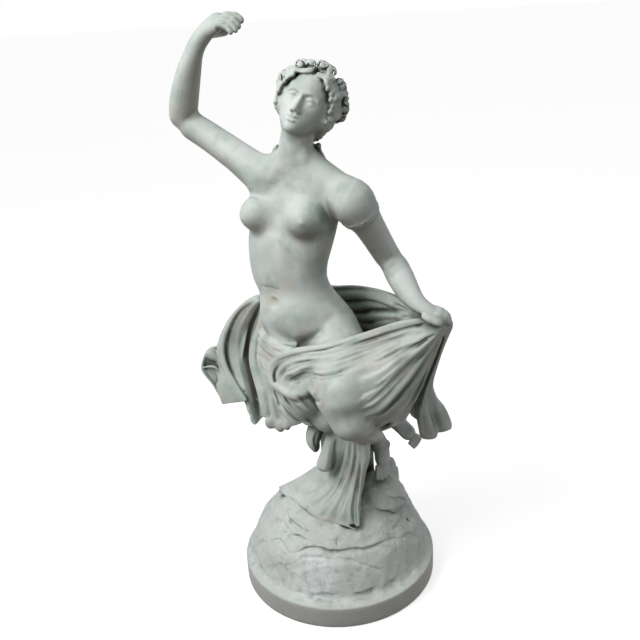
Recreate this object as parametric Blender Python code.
"""Parian figure: a dancing woman who holds out her drapery, on a rocky mound and a round plinth.

The figure was cast as one body, so it is one object. Each form below is a closed mesh in
millimetres. The forms are pressed together like clay: each becomes a distance field, the fields
are merged with a soft fillet, and one skin is taken from the result.

Frame: origin at the centre of the plinth's underside, +Z up, the figure faces -Y.
"""

import math

import bmesh
import bpy
import numpy as np
import openvdb
from mathutils import Matrix, Vector

MM = 0.001

# Driving dimensions, in millimetres and degrees.
PLINTH_RADIUS = 100.0
PLINTH_HEIGHT = 23.0
PLINTH_EDGE = 1.6
PLINTH_SIDES = 72
GROOVE_DEPTH = 0.6
GROOVE_RADIUS = 96.4
UNDERCUT = 12.0
CUTTER = 400.0
CHEST_TURN = 34.0
PELVIS_TURN = 30.0
HEAD_CENTRE = (-7.0, 6.0, 482.0)
HEAD_TURN = 12.0
HEAD_BACK = 20.0
HEAD_LEAN = 23.5
CLOTH = 4.4
VOXEL = 2.0
BAND = 16.0
TRIANGLES = 8600
LOW = (-150.0, -130.0, -8.0)
HIGH = (136.0, 100.0, 574.0)

# The wreath's roses: bearing from the brow towards the left ear, height above the head's middle, size.
WREATH = (
    (-75, 12, 6), (-55, 20, 7), (-38, 25, 6.5), (-18, 29, 7), (-4, 30, 6), (18, 30, 6.5), (36, 27, 7),
    (52, 23, 6), (70, 18, 7), (88, 12, 6.5), (106, 7, 7), (126, 4, 6), (150, 4, 6.5), (175, 4, 6),
    (-95, 8, 6.5), (-118, 5, 6), (-142, 4, 6.5), (-162, 4, 6),
)

# The masses of rock: middle, half sizes and fillet.
ROCKS = (
    (0, 3, 8, 96, 92, 94, 1), (46, 8, 62, 30, 30, 34, 8), (44, -8, 87, 26, 24, 24, 8),
    (56, 14, 92, 11, 13, 26, 5), (58, 16, 108, 5, 6, 9, 3), (72, 2, 64, 8, 14, 14, 5),
)
PARIAN_COLOUR = (0.60, 0.63, 0.60, 1.0)


def spline(rows, places):
    """Values of a smooth curve through rows of numbers, at places from 0 to 1."""
    rows = np.asarray(rows, float)
    steps = np.linalg.norm(np.diff(rows[:, :3], axis=0), axis=1)
    length = np.concatenate([[0], np.cumsum(steps)])
    at = np.interp(np.asarray(places) * length[-1], length, np.arange(len(rows)))
    return spline_by_row(rows, at)


def spline_by_row(rows, at):
    """Catmull-Rom through rows, at a place counted in rows; rows may hold arrays."""
    last = len(rows) - 1
    low = np.clip(np.floor(at).astype(int), 0, max(last - 1, 0))
    t = (at - low).reshape((-1,) + (1,) * (rows.ndim - 1))
    high = np.minimum(low + 1, last)
    before = np.where(low[:, None] > 0, rows[low - 1], 2 * rows[low] - rows[high])
    after = np.where(high[:, None] < last, rows[np.minimum(high + 1, last)], 2 * rows[high] - rows[low])
    a, b = rows[low], rows[high]
    return 0.5 * (2 * a + (b - before) * t + (2 * before - 5 * a + 4 * b - after) * t**2
                  + (3 * a - before - 3 * b + after) * t**3)


def side_and_front(turn):
    """The figure's own left and front, for a body turned this many degrees to its right."""
    angle = math.radians(turn)
    left = np.array([math.cos(angle), -math.sin(angle), 0.0])
    front = np.array([-math.sin(angle), -math.cos(angle), 0.0])
    return left, front


def globe(segments, rings):
    """A unit sphere and, for each of its points, its height place, its bearing and its end rounding."""
    bm = bmesh.new()
    bmesh.ops.create_uvsphere(bm, u_segments=segments, v_segments=rings, radius=1.0)
    unit = np.array([v.co[:] for v in bm.verts])
    around = np.linalg.norm(unit[:, :2], axis=1)
    place = np.arcsin(np.clip(unit[:, 2], -1, 1)) / math.pi + 0.5
    bearing = unit[:, :2] / np.maximum(around, 1e-9)[:, None]
    bearing[around < 1e-6] = 0
    return bm, place, bearing


def set_points(bm, points):
    for vert, point in zip(bm.verts, points):
        vert.co = point
    return bm


def end_rounding(along, length, cap):
    """How much of its full width a tube has, this far along, with rounded ends."""
    near = np.clip(np.minimum(along, length - along) / cap, 0, 1)
    return np.sqrt(1 - (1 - near) ** 2)


def limb(stations, width_towards=(1, 0, 0), segments=20, rings=28):
    """A tube through stations of (x, y, z, half width, half depth) with rounded ends."""
    stations = np.asarray([list(s) + [s[3]] * (5 - len(s)) for s in stations], float)
    bm, place, bearing = globe(segments, rings)
    rows = spline(stations, place)
    ahead = spline(stations, np.clip(place + 0.01, 0, 1))[:, :3]
    behind = spline(stations, np.clip(place - 0.01, 0, 1))[:, :3]
    run = ahead - behind
    run /= np.linalg.norm(run, axis=1)[:, None]
    width = np.asarray(width_towards, float)
    width = width - (run @ width)[:, None] * run
    width /= np.maximum(np.linalg.norm(width, axis=1), 1e-6)[:, None]
    depth = np.cross(run, width)
    length = np.linalg.norm(np.diff(stations[:, :3], axis=0), axis=1).sum()
    cap = np.minimum(0.45 * length, rows[:, 3])
    full = end_rounding(place * length, length, cap)
    points = (rows[:, :3] + (full * rows[:, 3] * bearing[:, 0])[:, None] * width
              + (full * rows[:, 4] * bearing[:, 1])[:, None] * depth)
    return set_points(bm, points)


def level_loft(stations, fullness=2.2, segments=40, rings=40):
    """A body through level stations of (x, y, z, half width, half depth, turn)."""
    bm, place, bearing = globe(segments, rings)
    rows = spline(stations, place)
    length = stations[-1][2] - stations[0][2]
    full = end_rounding(place * length, length, 14.0)
    shape = np.sign(bearing) * np.abs(bearing) ** (2 / fullness)
    turn = np.radians(rows[:, 5])
    left = np.stack([np.cos(turn), -np.sin(turn), 0 * turn], axis=1)
    front = np.stack([-np.sin(turn), -np.cos(turn), 0 * turn], axis=1)
    points = (rows[:, :3] + (full * rows[:, 3] * shape[:, 0])[:, None] * left
              + (full * rows[:, 4] * shape[:, 1])[:, None] * front)
    return set_points(bm, points)


def lump(centre, radii, towards=(0, 0, 1), width_towards=(1, 0, 0)):
    """An ellipsoid of half sizes (width, depth, length), its length along towards."""
    z = Vector(towards).normalized()
    x = Vector(width_towards)
    x = (x - z * x.dot(z)).normalized()
    turn = Matrix((x, z.cross(x), z)).transposed().to_4x4()
    bm = bmesh.new()
    bmesh.ops.create_icosphere(
        bm, subdivisions=3, radius=1.0,
        matrix=Matrix.Translation(centre) @ turn @ Matrix.Diagonal((*radii, 1.0)),
    )
    return bm


def sheet(guides, pleats=(), thickness=CLOTH, across=56, along=40):
    """A sheet of cloth whose guides run along its folds. A pleat is a ridge on it, given as
    (place across at the guides' start, place at their end, height, half width)."""
    bm = bmesh.new()
    bmesh.ops.create_grid(bm, x_segments=across, y_segments=along, size=0.5)
    place = np.array([v.co[:2] for v in bm.verts]) + 0.5

    def surface(u, v):
        lines = np.stack([spline(guide, v) for guide in guides])
        rows = np.arange(len(u))
        at = u * (len(guides) - 1)
        low = np.clip(np.floor(at).astype(int), 0, len(guides) - 2)
        t = (at - low)[:, None]
        a, b = lines[low, rows], lines[low + 1, rows]
        before = np.where(low[:, None] > 0, lines[low - 1, rows], 2 * a - b)
        top = np.minimum(low + 2, len(guides) - 1)
        after = np.where(low[:, None] + 2 < len(guides), lines[top, rows], 2 * b - a)
        return 0.5 * (2 * a + (b - before) * t + (2 * before - 5 * a + 4 * b - after) * t**2
                      + (3 * a - before - 3 * b + after) * t**3)

    u, v = place[:, 0], place[:, 1]
    step = 1e-3
    du = surface(np.clip(u + step, 0, 1), v) - surface(np.clip(u - step, 0, 1), v)
    dv = surface(u, np.clip(v + step, 0, 1)) - surface(u, np.clip(v - step, 0, 1))
    normal = np.cross(du, dv)
    normal /= np.maximum(np.linalg.norm(normal, axis=1), 1e-9)[:, None]
    rise = np.zeros(len(u))
    for start, end, height, half in pleats:
        rise += height * np.exp(-(((u - start - (end - start) * v) / half) ** 2))
    middle = surface(u, v) + rise[:, None] * normal
    half = 0.5 * thickness * normal
    set_points(bm, middle + half)
    back = bmesh.ops.extrude_face_region(bm, geom=bm.faces[:], use_keep_orig=True)["geom"]
    back = [item for item in back if isinstance(item, bmesh.types.BMVert)]
    for vert, point in zip(back, middle - half):
        vert.co = point
    return bm


class Clay:
    """A block of space in which forms are merged as distance fields."""

    def __init__(self):
        self.transform = openvdb.createLinearTransform(voxelSize=VOXEL)
        self.low = np.floor(np.array(LOW) / VOXEL).astype(int)
        size = np.ceil(np.array(HIGH) / VOXEL).astype(int) - self.low
        self.field = np.full(size, BAND, np.float32)

    def local(self, bm):
        """The distance field of a closed mesh, with the corner of the box that holds it."""
        bmesh.ops.triangulate(bm, faces=bm.faces[:])
        bm.verts.index_update()
        points = np.array([v.co[:] for v in bm.verts], np.float32)
        faces = np.array([[v.index for v in f.verts] for f in bm.faces], np.uint32)
        bm.free()
        grid = openvdb.FloatGrid.createLevelSetFromPolygons(
            points, triangles=faces, transform=self.transform,
            exBandWidth=BAND / VOXEL, inBandWidth=BAND / VOXEL,
        )
        reach = int(BAND / VOXEL) + 1
        low = np.maximum(np.floor(points.min(axis=0) / VOXEL).astype(int) - reach, self.low)
        high = np.ceil(points.max(axis=0) / VOXEL).astype(int) + reach
        high = np.minimum(high, self.low + np.array(self.field.shape))
        box = np.zeros(high - low, np.float32)
        grid.copyToArray(box, ijk=tuple(int(i) for i in low))
        start = low - self.low
        return box, tuple(slice(a, a + n) for a, n in zip(start, box.shape))

    def add(self, bm, blend=2.0):
        box, where = self.local(bm)
        here = self.field[where]
        soft = np.maximum(blend - np.abs(here - box), 0) / blend
        self.field[where] = np.minimum(here, box) - soft * soft * blend / 4

    def cut(self, bm, blend=1.0):
        box, where = self.local(bm)
        here = self.field[where]
        soft = np.maximum(blend - np.abs(here + box), 0) / blend
        self.field[where] = np.maximum(here, -box) + soft * soft * blend / 4

    def press(self, other, blend=2.0):
        """Merges another block of the same size into this one."""
        soft = np.maximum(blend - np.abs(self.field - other.field), 0) / blend
        self.field = np.minimum(self.field, other.field) - soft * soft * blend / 4

    def soften(self):
        """Averages the field with its neighbours, which fills gaps thinner than a voxel."""
        for axis in range(3):
            around = np.roll(self.field, 1, axis) + np.roll(self.field, -1, axis)
            self.field = 0.5 * self.field + 0.25 * around

    def skin(self):
        """The surface as points in millimetres and four-sided faces."""
        grid = openvdb.FloatGrid(BAND)
        grid.copyFromArray(self.field, ijk=tuple(int(i) for i in self.low))
        grid.transform = self.transform
        return grid.convertToQuads()


def add_torso(clay):
    left, front = side_and_front(CHEST_TURN)
    hip_left, hip_front = side_and_front(PELVIS_TURN)
    clay.add(level_loft((
        (-15, 6, 222, 34, 28, PELVIS_TURN),
        (-15, 5, 240, 46, 34, PELVIS_TURN),
        (-15.5, 5, 256, 50.5, 36, PELVIS_TURN),
        (-16, 5, 272, 50.5, 35, PELVIS_TURN),
        (-18, 5.5, 287, 48, 32.5, PELVIS_TURN),
        (-22, 6, 300, 43, 29.5, 31),
        (-27, 7, 312, 38, 27, 32),
        (-32, 8, 325, 37.5, 26.5, 33),
        (-32.5, 9, 340, 39.5, 27, CHEST_TURN),
        (-30, 10, 356, 42.5, 28, CHEST_TURN),
        (-26.5, 10.5, 372, 44, 28.5, CHEST_TURN),
        (-23, 10.5, 388, 45, 27, CHEST_TURN),
        (-19, 10, 402, 43, 24.5, CHEST_TURN),
        (-16, 9, 415, 36, 20, CHEST_TURN),
        (-15, 8, 427, 24, 15, CHEST_TURN),
        (-15, 8, 438, 16, 14, CHEST_TURN),
    )), 6)
    chest = np.array([-24.0, 10.5, 386.0])
    for side, reach in ((-1, 25.0), (1, 26.0)):
        centre = chest + side * reach * left + 20 * front + np.array([0, 0, 2.0])
        point = front + 0.32 * side * left + np.array([0, 0, -0.05])
        clay.add(lump(centre, (17.0, 16.5, 18.5), tuple(point)), 8)
    clay.add(lump((-44, 18, 418), (16, 15, 15)), 12)
    clay.add(lump((28, -23, 400), (16.5, 16, 18)), 10)
    clay.add(limb(((-16, 9, 440, 12), (-2, 2, 426, 13), (14, -10, 415, 13), (27, -20, 406, 12))), 10)
    clay.add(limb(((-17, 9, 440, 12), (-30, 14, 430, 14), (-44, 20, 424, 14))), 10)
    belly = np.array([-25, 6, 290.0]) + 19 * hip_front
    clay.add(lump(belly, (29.5, 17.5, 25), (0.0, -0.1, 1), tuple(hip_left)), 12)
    seat = np.array([-15, 5, 254.0]) - 19 * hip_front
    for side in (-1, 1):
        clay.add(lump(seat + side * 22 * hip_left, (23, 21, 25)), 10)


def add_legs(clay):
    clay.add(limb((
        (9, -4, 270, 31), (10, -26, 257, 30), (11, -50, 243, 27.5), (11, -72, 229, 23),
        (11, -88, 219, 19),
    )), 14)
    clay.add(limb((
        (11, -88, 222, 17), (17, -70, 209, 16.5), (26, -46, 190, 15), (36, -20, 168, 11.5),
        (43, -3, 152, 8.2),
    )), 8)
    clay.add(limb((
        (42.5, -2, 155, 8.8), (46.5, -3, 146, 8.4), (48, -7, 137, 8.2), (48.5, -12, 127, 8),
        (48.5, -17, 118, 8, 6),
    )), 4)
    clay.add(limb((
        (-35, 12, 268, 31), (-32, -2, 248, 29.5), (-26, -18, 226, 25.5), (-20, -32, 207, 20),
        (-17, -38, 200, 18),
    )), 14)
    clay.add(limb((
        (-17, -36, 200, 17), (4, -22, 192, 17), (30, -2, 180, 15.5), (52, 16, 168, 10.5),
        (62, 22, 163, 8.5),
    )), 8)
    clay.add(limb((
        (60, 22, 164, 9), (72, 14, 154, 9, 7.5), (83, 8, 144, 8.5, 6.5), (92, 3, 135, 7.5, 4.5),
    )), 4)


def add_arms(clay):
    clay.add(limb((
        (-42, 16, 413, 17), (-56, 24, 424, 17), (-73, 34, 436, 15), (-95, 46, 451, 14),
        (-113, 54, 463, 13), (-124, 58, 470, 12),
    )), 12)
    clay.add(limb((
        (-124, 58, 468, 12), (-120, 54, 482, 14), (-115, 48, 500, 13), (-108, 41, 516, 10.6),
        (-102, 35, 528, 8.6, 8), (-98, 32, 534, 8, 7),
    )), 4)
    clay.add(limb((
        (-99, 32, 532, 7, 7.2), (-91, 28, 541, 9, 7), (-80, 23, 548, 10, 6.5), (-73, 21, 550, 9, 6),
    ), width_towards=(0.5, -0.5, -0.7)), 3)
    for n in range(4):
        knuckle = np.array([-75.0, 27, 556]) + n * np.array([1.6, -4.6, -4.0])
        clay.add(limb((
            (*knuckle, 3.4), (*(knuckle + (11 - n, -2, 0)), 3.0), (*(knuckle + (17 - n, -3, -6)), 2.7),
            (*(knuckle + (18 - n, -3, -11)), 2.3),
        )), 1.5)
    clay.add(limb((
        (16, -14, 400, 16), (28, -23, 402, 17), (36, -21, 389, 15.5), (46, -14, 370, 13.6),
        (57, -6, 348, 12.4), (65, -4, 336, 11.8),
    )), 12)
    clay.add(limb((
        (65, -4, 338, 11.8), (68, -17, 331, 12.6), (73, -36, 322, 11), (79, -52, 314, 8.6),
        (83, -58, 311, 8),
    )), 4)
    clay.add(limb((
        (82, -57, 311, 8), (91, -61, 309, 9, 7.5), (101, -63, 307, 9.5, 8), (105, -63, 304, 8, 6.5),
    )), 3)
    clay.add(limb((
        (36, -40, 401, 2.2), (48, -30, 391, 2.2),
    )), 1)


def head_frame():
    """Turns head-own places (to its left, forward, up) into the figure's."""
    yaw, nod, lean = (math.radians(a) for a in (HEAD_TURN, HEAD_BACK, HEAD_LEAN))
    ahead = np.array([-math.sin(yaw), -math.cos(yaw), 0.0])
    level_left = np.array([math.cos(yaw), -math.sin(yaw), 0.0])
    forward = math.cos(nod) * ahead + math.sin(nod) * np.array([0, 0, 1.0])
    level_up = np.cross(forward, level_left)
    up = math.cos(lean) * level_up + math.sin(lean) * level_left
    left = np.cross(up, forward)
    return np.stack([left, forward, up], axis=1)


def add_head(clay):
    turn = head_frame()
    left, forward, up = turn.T

    def place(x, y, z):
        return tuple(np.array(HEAD_CENTRE) + turn @ np.array([x, y, z], float))

    def head_lump(at, radii, blend, towards=up):
        clay.add(lump(place(*at), radii, tuple(towards), tuple(left)), blend)

    clay.add(limb((
        (-16, 9, 416, 20), (-17, 8, 430, 16.5), (-18.5, 7, 446, 15), (-15, 8, 460, 15.5),
        (*place(0, -6, -16), 17),
    )), 8)
    head_lump((0, -5, 6), (23.5, 28, 25), 4)
    head_lump((0, 5, -6), (19.5, 18, 25), 6)
    head_lump((0, 14, -23), (11, 10, 9), 6)
    head_lump((0, 22.5, -30), (5, 4.5, 4), 4)
    clay.add(limb(((*place(0, 22, 5), 2.5), (*place(0, 26, -3), 3), (*place(0, 28.5, -9), 3.6))), 3)
    head_lump((0, 23, -18), (8, 3, 4), 3)
    head_lump((0, -20, -2), (24, 18, 22), 5)
    head_lump((0, -31, -14), (15, 12, 12), 4)
    for side in (-1, 1):
        clay.add(limb((
            (*place(1 * side, 18, 24), 4), (*place(13 * side, 16, 19), 5), (*place(21 * side, 8, 9), 5.5),
            (*place(23 * side, -2, -3), 5.5), (*place(20 * side, -14, -12), 6),
        )), 3)
    for bearing, height, size in WREATH:
        angle = math.radians(bearing)
        at = (26.5 * math.sin(angle), -6 + 25 * math.cos(angle), height - 2)
        head_lump(at, (size, size, size), 1.5)


def add_swath(clay):
    """The cloth that swings out at the right hip as a hollow bowl, with a flap behind its rim."""
    clay.add(sheet((
        ((-58, 34, 300), (-71, 40, 295), (-84, 46, 285), (-98, 50, 270), (-109, 52, 252), (-116, 50, 234),
         (-119, 46, 217), (-118, 38, 200), (-113, 30, 183)),
        ((-57, 28, 299), (-72, 33, 295), (-87, 41, 281), (-100, 48, 259), (-107, 49, 238), (-105, 45, 219),
         (-97, 37, 202), (-88, 25, 188)),
        ((-56, 25, 298), (-69, 29, 296), (-81, 36, 283), (-94, 43, 261), (-99, 46, 240), (-98, 41, 221),
         (-92, 31, 203), (-85, 21, 180)),
        ((-54, 24, 296), (-64, 27, 294), (-73, 34, 281), (-84, 42, 259), (-88, 45, 238), (-88, 40, 218),
         (-84, 29, 198), (-81, 17, 164)),
        ((-53, 24, 295), (-61, 28, 292), (-69, 38, 279), (-77, 47, 257), (-81, 50, 236), (-79, 45, 217),
         (-75, 34, 197), (-72, 22, 170)),
        ((-52, 16, 290), (-62, 22, 283), (-67, 27, 268), (-73, 30, 254), (-77, 30, 241), (-78, 28, 228),
         (-75, 22, 213), (-71, 14, 197), (-69, 8, 178)),
        ((-50, 8, 284), (-61, 14, 274), (-67, 19, 249), (-67, 15, 226), (-59, 1, 196), (-56, -4, 170)),
        ((-48, 2, 276), (-59, 6, 265), (-60, 7, 244), (-59, 3, 222), (-51, -8, 198), (-44, -12, 174)),
        ((-46, -6, 264), (-53, -10, 253), (-50, -15, 238), (-43, -22, 224), (-30, -28, 205), (-18, -31, 186)),
    ), across=64, along=44), 3)
    clay.add(sheet((
        ((-110, 50, 241), (-112, 48, 222), (-112, 44, 206), (-112, 37, 188)),
        ((-121, 49, 240), (-123, 48, 222), (-121, 45, 206), (-115, 38, 188)),
        ((-128, 47, 234), (-131, 46, 220), (-128, 45, 208), (-117, 41, 191)),
    ), across=20, along=16), 3)
    clay.add(lump((-121, 50, 214), (8, 8, 12)), 3)
    clay.add(lump((-121, 46, 230), (8.5, 4, 6.5)), 3)


def add_rear_cloth(clay):
    """The cloth that passes behind the hips from the left hand to the swath."""
    hand = (96, -62, 304)
    clay.add(sheet((
        ((-72, 32, 297), (-40, 46, 298), (-5, 50, 298), (30, 38, 301), (60, 6, 303), (82, -38, 303), hand),
        ((-80, 40, 280), (-46, 56, 281), (-5, 58, 283), (34, 46, 288), (64, 12, 294), (84, -36, 300), hand),
        ((-88, 46, 262), (-50, 62, 262), (-6, 62, 268), (36, 50, 278), (68, 14, 289), (86, -34, 299), hand),
        ((-92, 48, 240), (-52, 64, 240), (-8, 64, 246), (34, 50, 258), (68, 16, 274), (87, -32, 293), hand),
        ((-92, 44, 214), (-52, 60, 216), (-8, 60, 222), (32, 46, 236), (66, 14, 258), (88, -32, 286), hand),
    ), pleats=[(0.12, 0.12, 4, 0.05), (0.36, 0.34, 4, 0.06), (0.6, 0.56, 4, 0.06), (0.85, 0.8, 4, 0.06)]), 4)


def add_band(clay):
    """The rolled edge across the front, and the cloth on the right thigh under its turn."""
    clay.add(limb((
        (97, -62, 304, 6), (82, -60, 298, 7), (60, -54, 289, 8.5), (34, -49, 281, 9), (14, -45, 274, 9),
        (-6, -44, 270, 8.5), (-24, -40, 264, 8.5), (-40, -32, 256, 8), (-50, -28, 245, 7),
        (-52, -27, 234, 7), (-48, -27, 226, 6.5),
    )), 3)
    clay.add(limb((
        (98, -63, 300, 5), (80, -63, 291, 6), (58, -58, 281, 7), (32, -54, 272, 7.5), (12, -54, 266, 7.5),
        (-6, -50, 261, 7.5), (-22, -41, 253, 7.5), (-36, -36, 245, 6), (-44, -32, 237, 5),
    )), 3)
    clay.add(limb((
        (-32, -3, 248, 30), (-27, -18, 227, 27), (-21, -32, 208, 21.5), (-17, -38, 201, 19),
    )), 3)
    clay.add(limb((
        (-52, -20, 216, 9), (-38, -28, 203, 9), (-20, -38, 192, 9), (0, -50, 188, 9), (14, -60, 190, 8),
    )), 4)
    clay.add(limb((
        (-46, -8, 206, 8), (-30, -14, 192, 8), (-14, -20, 180, 8), (4, -28, 172, 8),
    )), 4)


def add_panel(clay):
    """The cloth stretched over the left thigh to the hand, and its hem under the knee."""
    clay.add(limb((
        (12, -10, 264, 26), (10, -34, 254, 27.5), (11, -58, 242, 28.2), (12, -79, 230, 24.5),
        (12.5, -88, 224, 20.5),
    )), 5)
    clay.add(limb((
        (12.5, -86, 223, 19.5), (18, -70, 211, 18), (28, -54, 200, 15), (40, -40, 192, 10),
    )), 6)
    clay.add(sheet((
        ((97, -63, 300), (77, -61, 290), (59, -59, 280), (37, -60, 272), (10, -62, 266), (-8, -56, 260)),
        ((100, -64, 299), (83, -67, 289), (67, -71, 278), (49, -77, 265), (28, -81, 253), (8, -78, 244)),
        ((103, -65, 299), (89, -67, 283), (77, -69, 265), (61, -76, 246), (41, -84, 230), (23, -84, 221)),
        ((105, -63, 297), (96, -57, 274), (86, -54, 248), (75, -56, 225), (60, -60, 208), (42, -66, 200)),
        ((106, -61, 296), (98, -50, 267), (88, -42, 240), (79, -42, 216), (70, -44, 197), (55, -47, 188)),
    ), pleats=[(0.2, 0.2, 1.5, 0.05), (0.42, 0.42, 2, 0.05), (0.62, 0.6, 2, 0.05), (0.84, 0.82, 2, 0.05)],
        across=64), 3)
    clay.add(sheet((
        ((68, -44, 196), (54, -54, 194), (36, -68, 196)),
        ((58, -34, 187), (43, -46, 187), (24, -66, 191)),
        ((46, -20, 180), (31, -34, 182), (12, -56, 189)),
    ), across=20, along=16), 6)


def add_tail(clay):
    """The folds that fall from the fist."""
    clay.add(limb((
        (106, -62, 301, 4.5), (107, -59, 294, 4.5), (104, -56, 284, 4.5), (97.5, -48, 260, 4.8),
        (91.5, -41, 235, 5.4), (87.5, -36, 211, 6.6), (89, -33, 190, 8.2), (93, -31, 170, 9),
        (93.5, -31, 164, 9),
    )), 2)
    clay.add(limb((
        (92, -40, 240, 4), (92, -37, 226, 4.6), (95.5, -32, 208, 6), (102.5, -28, 192, 8),
        (107.5, -25.5, 175, 9), (108.5, -25, 168, 9),
    )), 3)
    clay.add(limb((
        (90, -34, 236, 4), (85, -24, 218, 6.5), (83, -18, 202, 8), (88, -14, 186, 8.5), (95, -13, 172, 7.5),
    )), 3)
    clay.add(limb((
        (80, -24, 238, 5), (79, -20, 220, 7), (80, -17, 204, 9), (84, -15, 190, 9), (88, -14, 180, 8),
    )), 3)


def add_trailing_cloth(clay):
    """The cloth that falls between the legs to the rock and carries the figure."""
    clay.add(limb((
        (4, -18, 192, 15), (8, -22, 165, 14), (6, -22, 138, 13), (3, -20, 113, 12), (-2, -12, 94, 16),
    )), 4)
    clay.add(limb((
        (22, -25, 192, 11), (24, -30, 162, 9.5), (21, -32, 138, 8), (16, -33, 112, 7), (12, -36, 90, 8),
    )), 4)
    clay.add(sheet((
        ((2, -14, 178), (-2, -10, 150), (-8, -4, 132), (-21, 2, 118), (-40, 8, 102), (-60, 13, 89)),
        ((7, -32, 178), (7, -32, 158), (0, -28, 134), (-12, -22, 113), (-28, -17, 102), (-46, -11, 90)),
        ((12, -39, 178), (12, -39, 162), (8, -37, 138), (0, -36, 115), (-10, -38, 102), (-22, -41, 89)),
        ((19, -43, 177), (19, -43, 162), (16, -42.5, 141), (12, -43, 119), (6, -46, 102), (4, -49, 86)),
        ((30, -44, 172), (30, -45, 156), (26.5, -44, 139), (23, -44, 121), (19.5, -48, 103), (19.5, -53, 83)),
        ((34, -38, 168), (33, -38, 152), (29, -38, 136), (26, -36, 120), (22.5, -38, 105), (20, -47, 84)),
    ), across=60, along=44), 3)
    clay.add(limb((
        (-7, -8, 190, 6), (-12, -10, 181, 7.5), (-17.5, -12.5, 170, 8.4, 7), (-20, -14, 160, 7.4, 6),
        (-18, -15.5, 151, 4.4, 4),
    )), 2)
    clay.add(limb((
        (4, -20, 184, 6.5), (0, -27, 172, 7), (-4, -31, 160, 7.4), (-8, -33.5, 149, 8),
        (-11.5, -34, 140, 8.4), (-12, -34.5, 136.5, 8),
    )), 2)
    clay.add(sheet((
        ((-46, 34, 240), (-26, 28, 190), (-10, 20, 140), (-14, 16, 88)),
        ((-30, 50, 240), (-16, 42, 190), (-4, 34, 140), (-8, 38, 84)),
        ((-6, 56, 240), (2, 46, 190), (6, 40, 140), (6, 48, 78)),
        ((18, 48, 240), (20, 40, 190), (20, 32, 140), (24, 38, 80)),
        ((38, 30, 244), (39, 20, 190), (38, 10, 140), (38, 14, 90)),
    ), pleats=[(0.2, 0.15, 4, 0.07), (0.5, 0.45, 4, 0.07), (0.8, 0.8, 4, 0.07)], thickness=2 * CLOTH), 6)
    clay.add(limb(((-10, 22, 236, 26), (2, 14, 190, 19), (10, 6, 140, 13), (8, 2, 96, 16))), 6)


def add_mound(clay):
    """The mound of rock, whose lower half is cut away inside the plinth."""
    for x, y, z, rx, ry, rz, blend in ROCKS:
        clay.add(lump((x, y, z), (rx, ry, rz)), blend)
    under = bmesh.new()
    bmesh.ops.create_cube(under, size=CUTTER, matrix=Matrix.Translation((0, 0, UNDERCUT - CUTTER / 2)))
    clay.cut(under)


def outer_shell(points, faces):
    """The faces joined to the highest point, without the skins of closed hollows inside."""
    label = np.arange(len(points))
    while True:
        joined = label.copy()
        np.minimum.at(joined, faces, label[faces].min(axis=1)[:, None])
        joined = joined[joined]
        if (joined == label).all():
            break
        label = joined
    outer = label[faces[:, 0]] == label[np.argmax(points[:, 2])]
    used, faces = np.unique(faces[outer], return_inverse=True)
    return points[used], faces.reshape(-1, 4)


def build_skin():
    """All the forms as one skin, without the plinth."""
    body = Clay()
    add_torso(body)
    add_legs(body)
    add_arms(body)
    add_head(body)
    cloth = Clay()
    add_swath(cloth)
    add_rear_cloth(cloth)
    add_band(cloth)
    add_panel(cloth)
    add_tail(cloth)
    add_trailing_cloth(cloth)
    body.press(cloth, 2.0)
    add_mound(body)
    body.soften()
    return outer_shell(*body.skin())


def turned_plinth():
    """The round plinth, with a rounded rim and a shallow groove against the rock."""
    bm = bmesh.new()
    bmesh.ops.create_cone(
        bm, cap_ends=True, segments=PLINTH_SIDES, radius1=PLINTH_RADIUS, radius2=PLINTH_RADIUS,
        depth=PLINTH_HEIGHT, matrix=Matrix.Translation((0, 0, PLINTH_HEIGHT / 2)),
    )
    rim = [e for e in bm.edges if abs(e.verts[0].co.z - e.verts[1].co.z) < 1e-4]
    bmesh.ops.bevel(bm, geom=rim, offset=PLINTH_EDGE, segments=2, profile=0.5, affect="EDGES",
                    material=-1)
    top = [f for f in bm.faces if f.normal.z > 0.9 and len(f.verts) > 4]
    bmesh.ops.inset_region(bm, faces=top, thickness=PLINTH_RADIUS - PLINTH_EDGE - GROOVE_RADIUS)
    bmesh.ops.inset_region(bm, faces=top, thickness=GROOVE_DEPTH, depth=-GROOVE_DEPTH)
    bmesh.ops.scale(bm, vec=(MM, MM, MM), verts=bm.verts[:])
    return bm


def make_object(name, material):
    """The figure's skin, flat under the plinth's top, joined to the plinth."""
    points, faces = build_skin()
    mesh = bpy.data.meshes.new(name)
    mesh.from_pydata(points[:, :3] * MM, [], faces[:, ::-1].tolist())
    mesh.materials.append(material)
    figure = bpy.data.objects.new(name, mesh)
    bpy.context.scene.collection.objects.link(figure)
    reduce = figure.modifiers.new("fewer faces", "DECIMATE")
    reduce.ratio = TRIANGLES / (2 * len(mesh.polygons))

    plinth_mesh = bpy.data.meshes.new("plinth")
    bm = turned_plinth()
    bm.to_mesh(plinth_mesh)
    bm.free()
    plinth_mesh.materials.append(material)
    plinth = bpy.data.objects.new("plinth", plinth_mesh)
    bpy.context.scene.collection.objects.link(plinth)
    plinth.hide_render = True
    plinth.display_type = "WIRE"
    join = figure.modifiers.new("plinth", "BOOLEAN")
    join.operation = "UNION"
    join.solver = "EXACT"
    join.object = plinth
    return figure


def parian():
    material = bpy.data.materials.new("parian")
    material.use_nodes = True
    shader = material.node_tree.nodes["Principled BSDF"]
    shader.inputs["Base Color"].default_value = PARIAN_COLOUR
    shader.inputs["Roughness"].default_value = 0.6
    shader.inputs["Metallic"].default_value = 0.0
    material.diffuse_color = PARIAN_COLOUR
    return material


def main():
    for old in list(bpy.data.objects):
        bpy.data.objects.remove(old, do_unlink=True)
    make_object("parian_figure", parian())


main()
